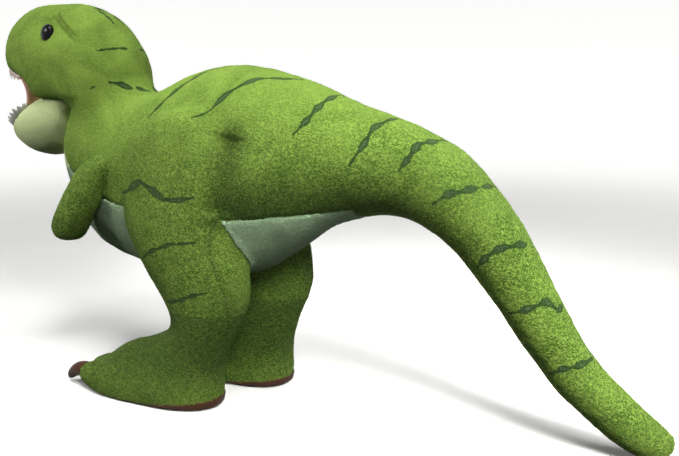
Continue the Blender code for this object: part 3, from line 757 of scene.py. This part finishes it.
def dressBody(skin, trunk, limbs):
    points = coords(skin)
    trunkAway = np.minimum(farFrom(trunk[0], points), farFrom(trunk[1], points))
    legAway = np.minimum(farFrom(limbs[0], points), farFrom(limbs[1], points))
    leaning = (trunkAway - legAway) / mm
    onLeg = smoothStep(leaning, -0.5, 2.0) * (points[:, 2] < 0.178)
    own, side = folded(points, onLeg)
    facing = foldedNormals(normals(skin), side)

    push = np.zeros(len(points))
    ridge = bell(own[:, 0], 0.8) * smoothStep(facing[:, 2], 0.1, 0.5)
    ridge *= (own[:, 1] > -70) | (own[:, 2] > 205)
    push -= dressing["backRidge"] * ridge
    for name, (depth, width) in pulls.items():
        away, share = onRoute(own, facing, seams[name])
        ends = smoothStep(np.minimum(share, 1 - share), 0.0, 0.08)
        push -= depth * bell(away, width) * ends
    away, share = onRoute(own, facing, seams["brow"])
    ahead = own[:, 1] + (own[:, 2] - 226) * 1.45 + 113    # behind the brow's line where positive
    near = bell(away, dressing["browWidth"]) * smoothStep(share, 0, 0.15) * smoothStep(1 - share, 0, 0.35)
    height = np.where(ahead > 0, dressing["browLift"], -dressing["browDrop"])
    push += near * height * smoothStep(np.abs(ahead), 0, 4.5)
    socket = np.linalg.norm(own - np.array([27, eyeShape["y"], eyeShape["z"]]), axis=1)
    push -= dressing["socket"] * bell(socket, dressing["socketWidth"])

    under = belowLine(own, seams["belly"])
    pale = np.where(onLeg > 0.4, -5.0, under)
    pale = np.minimum(pale, seams["bellyEnd"] - own[:, 1])
    pale = np.where((own[:, 2] > 176) | (own[:, 1] < -150), -5.0, pale)
    push -= dressing["bellySeam"] * bell(pale, dressing["bellySeamWidth"])
    sole = np.where(onLeg > 0.4, belowLine(own, seams["sole"]), -5.0)

    stripe = np.zeros(len(points))
    core = np.zeros(len(points))
    for route, width in stripes.values():
        away, share = onRoute(own, facing, route, dressing["printReach"])
        wave = 0.75 + 0.35 * np.sin(share * 23 + width * 9)
        taper = np.minimum(1, 3.2 * np.minimum(share, 1 - share) + 0.22) * wave
        taper = np.maximum(taper * dressing["printWidth"] * width, dressing["finestPrint"])
        stripe = np.maximum(stripe, 1 - smoothStep(away, taper - 0.4, taper + 0.5))
        core = np.maximum(core, 1 - smoothStep(away, taper - 1.4, taper - 0.5))
    push += dressing["swell"] * np.array([noise.noise(Vector(p) * dressing["swellScale"]) for p in points])
    neck = smoothStep(-own[:, 1], 40, 75) * smoothStep(own[:, 2], 130, 160)
    setAttribute(skin, "tufted", smoothStep(190 - own[:, 2], 0, 55) * (1 - 0.8 * neck))
    # painted shade: the pile is coloured darker on the low flank, on the shins and feet, and in the hollow of
    # the hip, where shade falls
    flank = smoothStep(158 - own[:, 2], 0, 42) * smoothStep(own[:, 1], -30, 20)
    flank *= 1 - smoothStep(own[:, 1], 95, 150)
    shin = smoothStep(104 - own[:, 2], 0, 55) * smoothStep(own[:, 2], 2, 30) * dressing["shinShade"]
    shin += dressing["footShade"] * (own[:, 2] < 60)
    nap = np.where(onLeg > 0.4, shin, dressing["flankShade"] * flank)
    hollow = onRoute(own, facing, seams["hip"], dressing["hipReach"])[0]
    nap = np.maximum(nap, dressing["hipShade"] * bell(hollow, dressing["hipShadeWidth"]))
    painted = {"nap": nap * (pale < 0), "core": core, "stripe": stripe * (pale < 0), "pale": pale, "sole": sole}
    for name, values in painted.items():
        setAttribute(skin, name, values)
    setCoords(skin, points + normals(skin) * (push * mm)[:, None])


bodyCuts = {"neckBack": 14, "neckAhead": 22, "neckLean": 60, "tailBack": 20, "tailAhead": 26}


def jointPlace(name):
    return Vector(next(joint["pos_m"] for joint in frame["joints"] if joint["name"] == name))


def makeSkins():
    skin, trunk, limbs = makeBody()
    points = coords(skin)
    own = folded(points, np.zeros(len(points)))[0]
    held = np.exp(-(own[:, 0] / 2.5) ** 2) * 0.5
    held = np.maximum(held, smoothStep(-own[:, 2], -6, -3))
    puff(skin, held, cap=bodyShape["cap"])
    withModifier(skin, "SUBSURF", levels=2, render_levels=2)
    dressBody(skin, trunk, limbs)
    pile(skin)
    points = coords(skin)
    points[:, 2] = np.maximum(points[:, 2], bodyShape["lowest"] * mm)
    setCoords(skin, points)
    print("the skin has", len(points), "points")

    lean = math.radians(bodyCuts["neckLean"])
    neckWay = Vector((0, -math.cos(lean), math.sin(lean)))
    neck, tail = jointPlace("neck_nod"), jointPlace("tail_sway")
    neckStart = neck - neckWay * bodyCuts["neckBack"] * mm
    tailStart = tail - Vector((0, bodyCuts["tailBack"] * mm, 0))
    head = cutOff(skin, "head_plush", neckStart, neckWay)
    tailSkin = cutOff(skin, "tail_plush", tailStart, (0, 1, 0))
    front = cutOff(skin, "front", neckStart, -neckWay)
    body = cutOff(front, "body_plush", tailStart, (0, -1, 0))
    for spare in (skin, front):
        bpy.data.objects.remove(spare)

    # the belly and rump panels take the darker copy of the pale pile, which is painted shade
    panels = ((body, "belly", "belly"), (head, "throat", "pale"), (tailSkin, "rump", "belly"))
    belly, throat, rump = [
        panelOver(under, name + "_panel_plush", getAttribute(under, "pale"), look, **panelFit)
        for under, name, look in panels]
    makeSoles(body)
    for piece in (body, belly):
        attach(piece, "torso")
    for piece in (head, throat):
        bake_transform(piece)
    for piece in (tailSkin, rump):
        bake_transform(piece)
    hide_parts("torso_cover_left", "torso_cover_right", "torso_stuffing",
                *[f"leg_{word}_{part}" for word in bothSides
                  for part in ("outer_panel", "inner_panel", "stuffing")])
    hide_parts("belly_panel")
    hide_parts("head_cover_left", "head_cover_right", "head_stuffing")
    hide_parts("tail_cover_left", "tail_cover_right", "tail_stuffing")
    return body, head


def makeSoles(body):
    # brown felt under each foot, turned up at the heel
    sole = getAttribute(body, "sole")
    points = coords(body)
    for word, side in bothSides.items():
        mask = np.where(points[:, 0] * side > 0, sole, -5.0)
        made = panelOver(body, f"sole_{word}_felt", mask, "brown", **soleFit)
        low = coords(made)
        low[:, 2] = np.maximum(low[:, 2], 0)
        setCoords(made, low)
        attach(made, "torso")
        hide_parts(f"sole_{word}")
    print("soles are on")


clawShape = {"length": 20, "radius": 5.2, "blunt": 2.0, "tip": 0.45, "rise": 6, "droop": 72,
             "baseY": -85, "baseZ": 11, "rings": 9,
             "lower": 3}    # the middle and inner claws lie lower and end sooner


def makeClaws():
    toe = bodyShape["legPlaces"]
    for word, side in bothSides.items():
        for offset, toeName in ((1, "outer"), (0, "middle"), (-1, "inner")):
            x = side * (bodyShape["leg"][-1][5] + offset * toe["toeSpread"])
            y = clawShape["baseY"] + float(legShift(side, 0)) + toe["toeSetback"] * offset ** 2
            builder = bmesh.new()
            bmesh.ops.create_circle(builder, cap_ends=True, segments=20, radius=1)
            cap = builder.faces[:]
            lower = 0 if offset > 0 else clawShape["lower"]
            place = spot(x, y + lower, clawShape["baseZ"] - lower)
            step = (clawShape["length"] - lower) / clawShape["rings"] * mm
            for ring in range(clawShape["rings"] + 1):
                t = ring / clawShape["rings"]
                turn = math.radians(clawShape["droop"] * t - clawShape["rise"])
                way = Vector((0, -math.cos(turn), -math.sin(turn)))
                thinning = (clawShape["radius"] - clawShape["blunt"]) * (1 - t ** 1.7)
                radius = (clawShape["blunt"] + thinning) * mm
                radius *= clawShape["tip"] if ring == clawShape["rings"] else 1
                after = (Matrix.Translation(place) @ way.to_track_quat("Z", "X").to_matrix().to_4x4()
                         @ Matrix.Diagonal((radius, radius, radius, 1)))
                if ring:
                    cap = grow(builder, cap, after @ before.inverted())
                else:
                    bmesh.ops.transform(builder, matrix=after, verts=builder.verts)
                before = after
                place = place + way * step
            edges = [edge for edge in builder.edges if edge.is_boundary]
            bmesh.ops.holes_fill(builder, edges=edges, sides=0)
            bmesh.ops.recalc_face_normals(builder, faces=builder.faces)
            made = objectFrom(f"claw_{word}_{toeName}_felt", builder, "brown")
            withModifier(made, "SUBSURF", levels=1, render_levels=1)
            pile(made, 0.12, x)
            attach(made, "torso")
            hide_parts(f"claw_{word}_{toeName}")
    print("claws are on")


jawShape = {
    "sections": [
        (-118, 188, -124, 158, 17), (-122, 197, -133, 149, 23), (-139, 195, -147, 144, 25.5),
        (-156, 190, -160, 143.5, 24.5), (-172, 184, -173, 147, 19.5), (-184, 178, -184, 153, 12),
        (-189.5, 172, -189, 160, 4.5),
    ],
    "floor": ((-119, 195.8), (-190, 159.5)), "voxel": 0.003, "shrink": 0.6, "cap": 1.6,
}
liningShape = {
    "palate": {"width": 26.5, "centre": -137, "reach": 51},
    "jaw": {"width": 24, "centre": -132, "reach": 57},
    "backMiddle": -145, "backSide": -156, "wall": 1.0, "columns": 28, "rows": 44,
    "margin": 1.2, "tip": 1.5, "off": 1.0, "bulge": 2.5, "flatShare": 0.4,
}
teethShape = {
    "pitch": 5.6, "wall": 1.1, "sweep": 66, "endDepth": 0.35, "lowerLift": 0.6,
    "upper": {"depth": 5.2, "strip": 2.0, "lean": 0.15, "rise": -1.0, "inset": 1.6},
    "lower": {"depth": 6.5, "strip": 3.0, "lean": 0.75, "rise": 0.7, "inset": 1.5},
}


def makeJaw():
    form = sectionForm("jaw", jawShape["sections"], shrink=jawShape["shrink"], material="pale")
    (backY, backZ), (frontY, frontZ) = jawShape["floor"]
    across = Vector((0, frontY - backY, frontZ - backZ)).normalized()
    upward = Vector((0, across.z, -across.y))
    jaw = cutOff(form, "jaw_cut", spot(0, backY, backZ), -upward)
    bpy.data.objects.remove(form)
    jaw = weld("jaw_plush", [jaw], jawShape["voxel"], "pale")
    points = coords(jaw)
    below = lineHeight(jawShape["floor"], points[:, 1] / mm - heelLine) - points[:, 2] / mm
    puff(jaw, bell(below, 3), cap=jawShape["cap"])
    withModifier(jaw, "SUBSURF", levels=2, render_levels=2)
    pile(jaw, 0.25, 3.0)
    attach(jaw, "jaw")
    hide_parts("jaw_cover", "jaw_stuffing")
    print("jaw is on")


def rimWidth(rim, y):
    return rim["width"] * math.sqrt(max(1 - ((y - rim["centre"]) / rim["reach"]) ** 2, 0.0))


def makeLining():
    # one pink sheet: palate, back of the mouth and floor of the jaw
    shape = liningShape
    builder = bmesh.new()
    bmesh.ops.create_grid(builder, x_segments=shape["columns"], y_segments=shape["rows"], size=1)
    palate, jaw, flatShare = shape["palate"], shape["jaw"], shape["flatShare"]

    def tipOf(rim):
        return rim["centre"] - rim["reach"] + shape["tip"]

    def across(rim, y):
        return rimWidth(rim, y) - shape["margin"]

    for vertex in builder.verts:
        u, v = vertex.co.x, (vertex.co.y + 1) / 2
        back = shape["backMiddle"] + (shape["backSide"] - shape["backMiddle"]) * u * u
        if v < flatShare:
            y = tipOf(palate) + (back - tipOf(palate)) * math.sin(v / flatShare * math.pi / 2)
            x = u * across(palate, y)
            z = lineHeight(bodyShape["palate"], y) - shape["off"]
        elif v > 1 - flatShare:
            y = tipOf(jaw) + (back - tipOf(jaw)) * math.sin((1 - v) / flatShare * math.pi / 2)
            x = u * across(jaw, y)
            z = lineHeight(jawShape["floor"], y) + shape["off"]
        else:
            t = (v - flatShare) / (1 - 2 * flatShare)
            y = back + shape["bulge"] * math.sin(t * math.pi)
            x = u * (across(palate, back) + (across(jaw, back) - across(palate, back)) * t)
            top = lineHeight(bodyShape["palate"], back) - shape["off"]
            bottom = lineHeight(jawShape["floor"], back) + shape["off"]
            z = top + (bottom - top) * t
        vertex.co = spot(x, y, z)
    bmesh.ops.remove_doubles(builder, verts=builder.verts, dist=0.00001)
    area = sum(face.calc_area() for face in builder.faces)
    bmesh.ops.solidify(builder, geom=builder.faces[:], thickness=shape["wall"] * mm)
    bmesh.ops.recalc_face_normals(builder, faces=builder.faces)
    lining = objectFrom("mouth_lining", builder, "pink")
    start = spot(0, shape["backMiddle"], lineHeight(bodyShape["palate"], shape["backSide"]) - 1)
    end = spot(0, shape["backMiddle"], lineHeight(jawShape["floor"], shape["backSide"]) + 1)
    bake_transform(lining)
    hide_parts("palate_lining", "jaw_lining")
    width = 2 * palate["width"] * mm
    area / width / 0.8
    print("lining is in")


def makeTeeth(which, body, line, outline):
    # a felt strip round the front of one jaw, cut into a zigzag; the lower one flops outward
    shape = teethShape[which]
    centre = outline["centre"]
    width, reach = outline["width"] - shape["inset"], outline["reach"] - shape["inset"]
    arc = [math.radians(angle) for angle in range(-teethShape["sweep"], teethShape["sweep"] + 1, 2)]
    rim = [Vector((width * math.sin(a), centre - reach * math.cos(a))) for a in arc]
    lengths = [0.0]
    for first, second in zip(rim, rim[1:]):
        lengths.append(lengths[-1] + (second - first).length)
    count = 2 * round(lengths[-1] / teethShape["pitch"])
    builder = bmesh.new()
    bmesh.ops.create_grid(builder, x_segments=count, y_segments=3, size=1)
    for vertex in builder.verts:
        column = round((vertex.co.x + 1) / 2 * count)
        down = (vertex.co.y + 1) / 2
        wanted = lengths[-1] * column / count
        place = max(i for i, length in enumerate(lengths[:-1]) if length <= wanted + 1e-9)
        share = (wanted - lengths[place]) / (lengths[place + 1] - lengths[place])
        point = rim[place].lerp(rim[place + 1], share)
        outward = Vector((point.x / width ** 2, (point.y - centre) / reach ** 2)).normalized()
        ends = min(1, 4 * min(column, count - column) / count + teethShape["endDepth"])
        depth = (shape["depth"] if column % 2 else shape["strip"]) * ends * down
        lean = shape["lean"] * depth
        z = lineHeight(line, point.y) + teethShape["lowerLift"] * (which == "lower")
        z += shape["rise"] * depth * (0.4 + 0.6 * down)
        vertex.co = spot(point.x + outward.x * lean, point.y + outward.y * lean, z)
    bmesh.ops.solidify(builder, geom=builder.faces[:], thickness=teethShape["wall"] * mm)
    bmesh.ops.recalc_face_normals(builder, faces=builder.faces)
    made = objectFrom(f"{which}_teeth_felt", builder, "felt")
    made.data.set_sharp_from_angle(angle=math.radians(50))
    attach(made, body)
    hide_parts(f"{which}_teeth")


eyeShape = {"radius": 5.8, "dome": 3.8, "y": -127.5, "z": 222.5, "tilt": 0.22, "steps": 48, "rings": 12,
            "bezel": 0.9, "rim": 0.96, "sunk": 0.4}


def makeEyes(head):
    tree = treeOf(head)
    for word, side in bothSides.items():
        outside = spot(side * 60, eyeShape["y"], eyeShape["z"])
        place = tree.ray_cast(outside, Vector((-side, 0, 0)))[0]
        way = Vector((side, -eyeShape["tilt"], eyeShape["tilt"] * 0.6)).normalized()
        builder = bmesh.new()
        profile = []
        for step in range(eyeShape["rings"] + 1):
            turn = math.radians(90 * step / eyeShape["rings"])
            point = (eyeShape["radius"] * math.sin(turn), 0, eyeShape["dome"] * math.cos(turn))
            profile.append(builder.verts.new(point))
        profile.append(builder.verts.new((eyeShape["radius"] * eyeShape["rim"], 0, -eyeShape["bezel"])))
        profile.append(builder.verts.new((0, 0, -eyeShape["bezel"])))
        edges = [builder.edges.new(pair) for pair in zip(profile, profile[1:])]
        bmesh.ops.spin(builder, geom=profile + edges, cent=(0, 0, 0), axis=(0, 0, 1), dvec=(0, 0, 0),
                       angle=math.tau, steps=eyeShape["steps"], use_merge=True)
        bmesh.ops.remove_doubles(builder, verts=builder.verts, dist=0.001)
        bmesh.ops.recalc_face_normals(builder, faces=builder.faces)
        turnTo = way.to_track_quat("Z", "Y").to_matrix().to_4x4()
        matrix = Matrix.Translation(place - way * eyeShape["sunk"] * mm) @ turnTo @ Matrix.Scale(mm, 4)
        bmesh.ops.transform(builder, matrix=matrix, verts=builder.verts)
        made = objectFrom(f"eye_{word}_dome", builder, "eye")
        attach(made, "head")
        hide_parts(f"eye_{word}")
    for word in bothSides:
        washer = frame["nodes"][f"eye_washer_{word}"]
        washer.data.materials.clear()
        washer.data.materials.append(materials["nylon"])
    print("eyes are in")


armShape = {
    "sections": [
        (-72, 150, -66, 141, 4, 33), (-78, 149, -73, 130, 8, 36), (-88, 142, -76, 119, 9.5, 38.5),
        (-97, 130, -82, 109, 10.5, 40), (-106, 116, -87, 101, 11, 40.5), (-112, 105, -92, 96, 10, 40.5),
        (-109, 97, -101, 94.5, 5, 40.5),
    ],
    "voxel": 0.0026, "shrink": 0.5, "cap": 1.4, "seamX": 40, "seamWidth": 1.6, "shade": 0.4,
    "bendX": 36, "bendFrom": (-74, 146), "bendTo": (-88, 132),
}


def makeArms():
    for word, side in bothSides.items():
        form = sectionForm("arm", armShape["sections"], side, armShape["shrink"])
        arm = weld(f"arm_{word}_plush", [form], armShape["voxel"], "green")
        points = coords(arm)
        held = bell(np.abs(points[:, 0]) / mm - armShape["seamX"], armShape["seamWidth"]) * 0.6
        puff(arm, held, cap=armShape["cap"])
        withModifier(arm, "SUBSURF", levels=2, render_levels=2)
        setAttribute(arm, "tufted", np.ones(len(arm.data.vertices)))
        # painted shade: the lower part of the arm is coloured darker
        setAttribute(arm, "nap", armShape["shade"] * smoothStep(0.135 - coords(arm)[:, 2], 0, 0.03))
        pile(arm, 0.3, 7.0)
        start = spot(side * armShape["bendX"], *armShape["bendFrom"])
        end = spot(side * armShape["bendX"], *armShape["bendTo"])
        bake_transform(arm)
        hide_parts(*[f"arm_{word}_{part}" for part in ("outer_panel", "inner_panel", "stuffing")])
    print("arms are on")


stitchShape = {"pitch": 2.6, "length": 1.5, "thickness": 0.32, "lift": 0.1}


def makeStitches(body):
    # short dark thread along the back seam of each leg
    tree = treeOf(body)
    builder = bmesh.new()
    thick = stitchShape["thickness"] * mm
    size = Matrix.Diagonal((thick, thick, stitchShape["length"] * mm, 1))
    for side in bothSides.values():
        route = [spot(side * x, y + float(legShift(side, z)), z) for x, y, z in seams["legBack"][:-1]]
        for first, second in zip(route, route[1:]):
            count = max(round((second - first).length / mm / stitchShape["pitch"]), 1)
            turn = (second - first).to_track_quat("Z", "Y").to_matrix().to_4x4()
            for step in range(count):
                near = first.lerp(second, (step + 0.5) / count)
                place, direction = tree.find_nearest(near)[:2]
                made = bmesh.ops.create_cube(builder, size=1)["verts"]
                lifted = Matrix.Translation(place + direction * stitchShape["lift"] * mm)
                bmesh.ops.transform(builder, matrix=lifted @ turn @ size, verts=made)
    thread = objectFrom("seam_thread", builder, "thread")
    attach(thread, "torso")
    print("stitches are in")


makeStage()
body, head = makeSkins()
makeClaws()
makeJaw()
makeLining()
makeTeeth("upper", "head", bodyShape["palate"], liningShape["palate"])
makeTeeth("lower", "jaw", jawShape["floor"], liningShape["jaw"])
makeEyes(head)
makeArms()
makeStitches(body)
print("all pieces are made")
